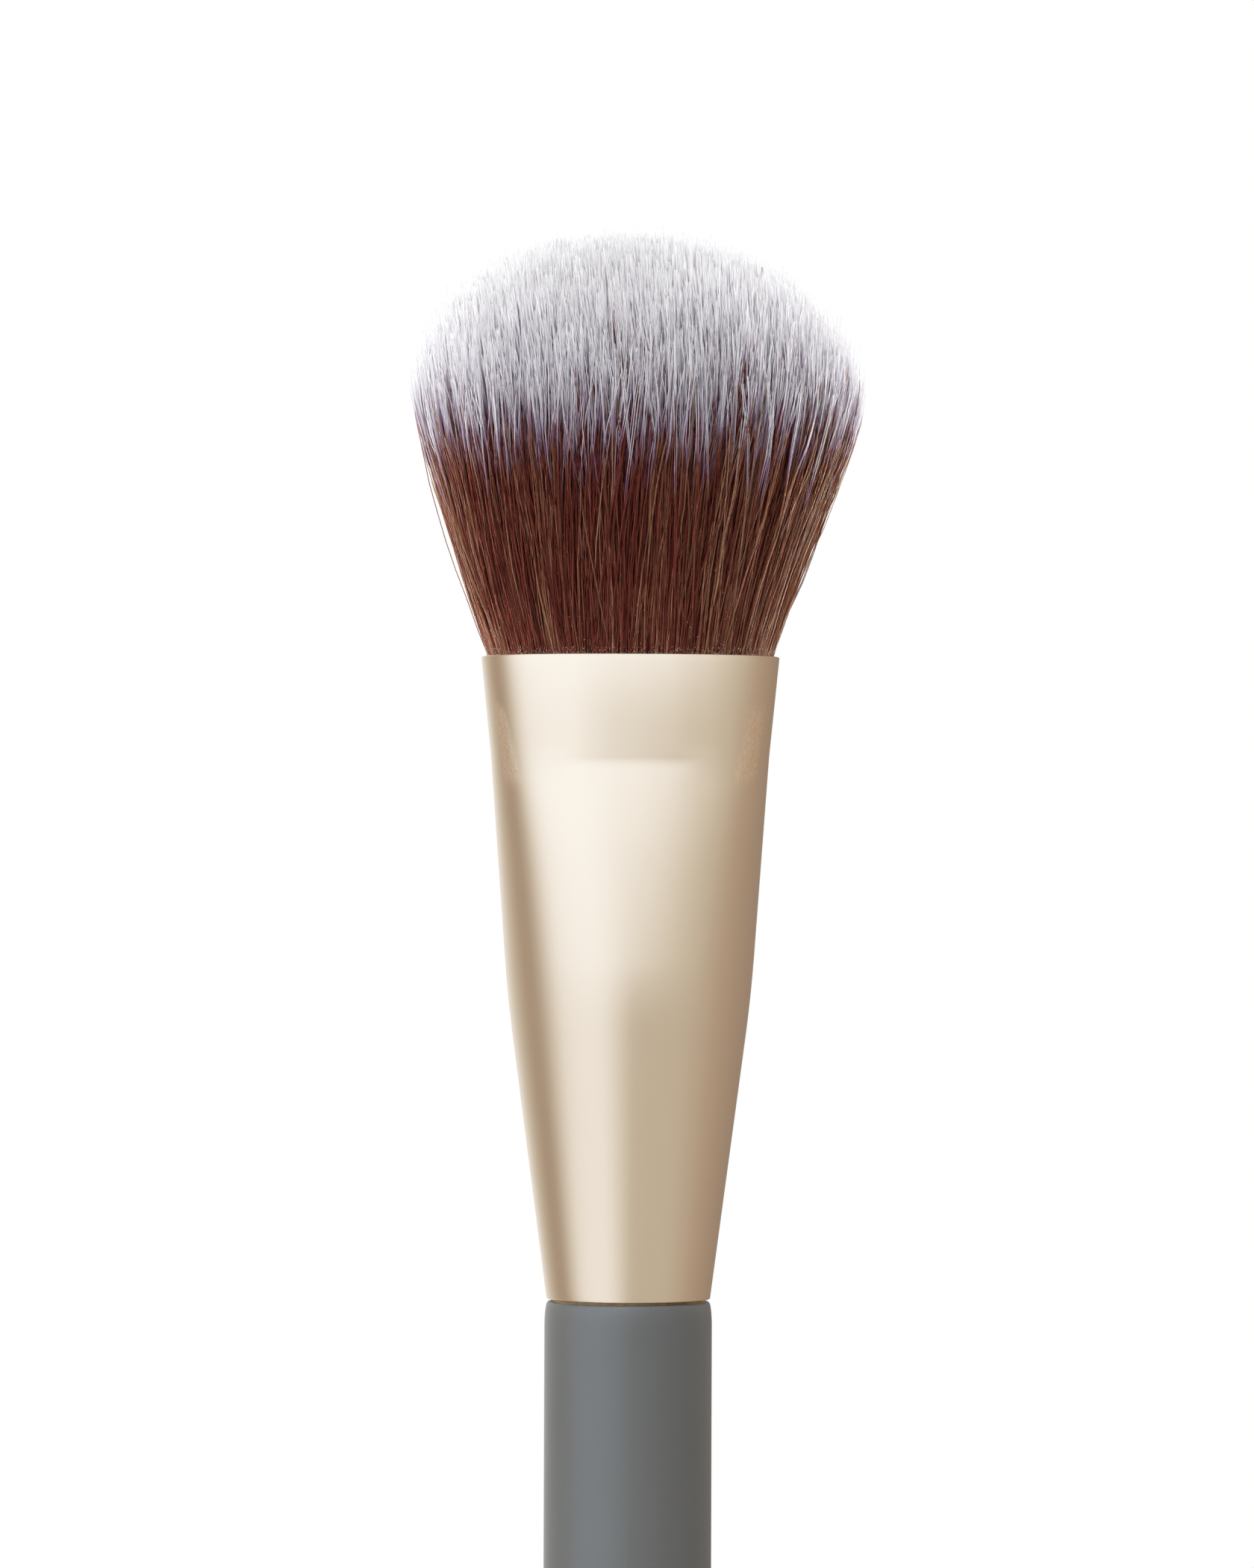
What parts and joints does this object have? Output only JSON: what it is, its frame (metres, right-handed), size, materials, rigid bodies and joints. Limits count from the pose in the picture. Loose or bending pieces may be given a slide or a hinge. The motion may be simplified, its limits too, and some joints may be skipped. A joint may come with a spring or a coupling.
{
  "type": "blush brush",
  "caption": "Hand-held cosmetic brush with a dome-cut, pale-tipped bristle head, a tapered ferrule that flattens to an oval mouth, and a straight round lacquered handle.",
  "frame": {"origin": "on the handle's axis, at the lower end of its straight grip", "axes": "+Z along the brush towards the bristles, X across the wide side of the oval head, Y through its depth, with the pictured side facing -Y"},
  "size_m": [0.0336, 0.0246, 0.178],
  "materials": {
    "ferrule_metal": "champagne-gold satin anodised, fine grain along the brush",
    "handle_wood": "turned birch, bare, hidden under the lacquer",
    "grey_lacquer": "matte soft-touch grey lacquer",
    "glue": "cured adhesive, hidden",
    "resin": "cured epoxy, hidden",
    "thread": "wound polyester thread, hidden",
    "bristle_fibre": "crimped synthetic filaments, red-brown with white tips"
  },
  "bodies": {
    "root": {"ferrule": "ferrule_metal", "handle_core": "handle_wood", "handle_coat": "grey_lacquer", "tenon_glue": "glue", "root_plug": "resin", "root_tie": "thread", "bristle_tuft": "bristle_fibre"}
  },
  "joints": []
}
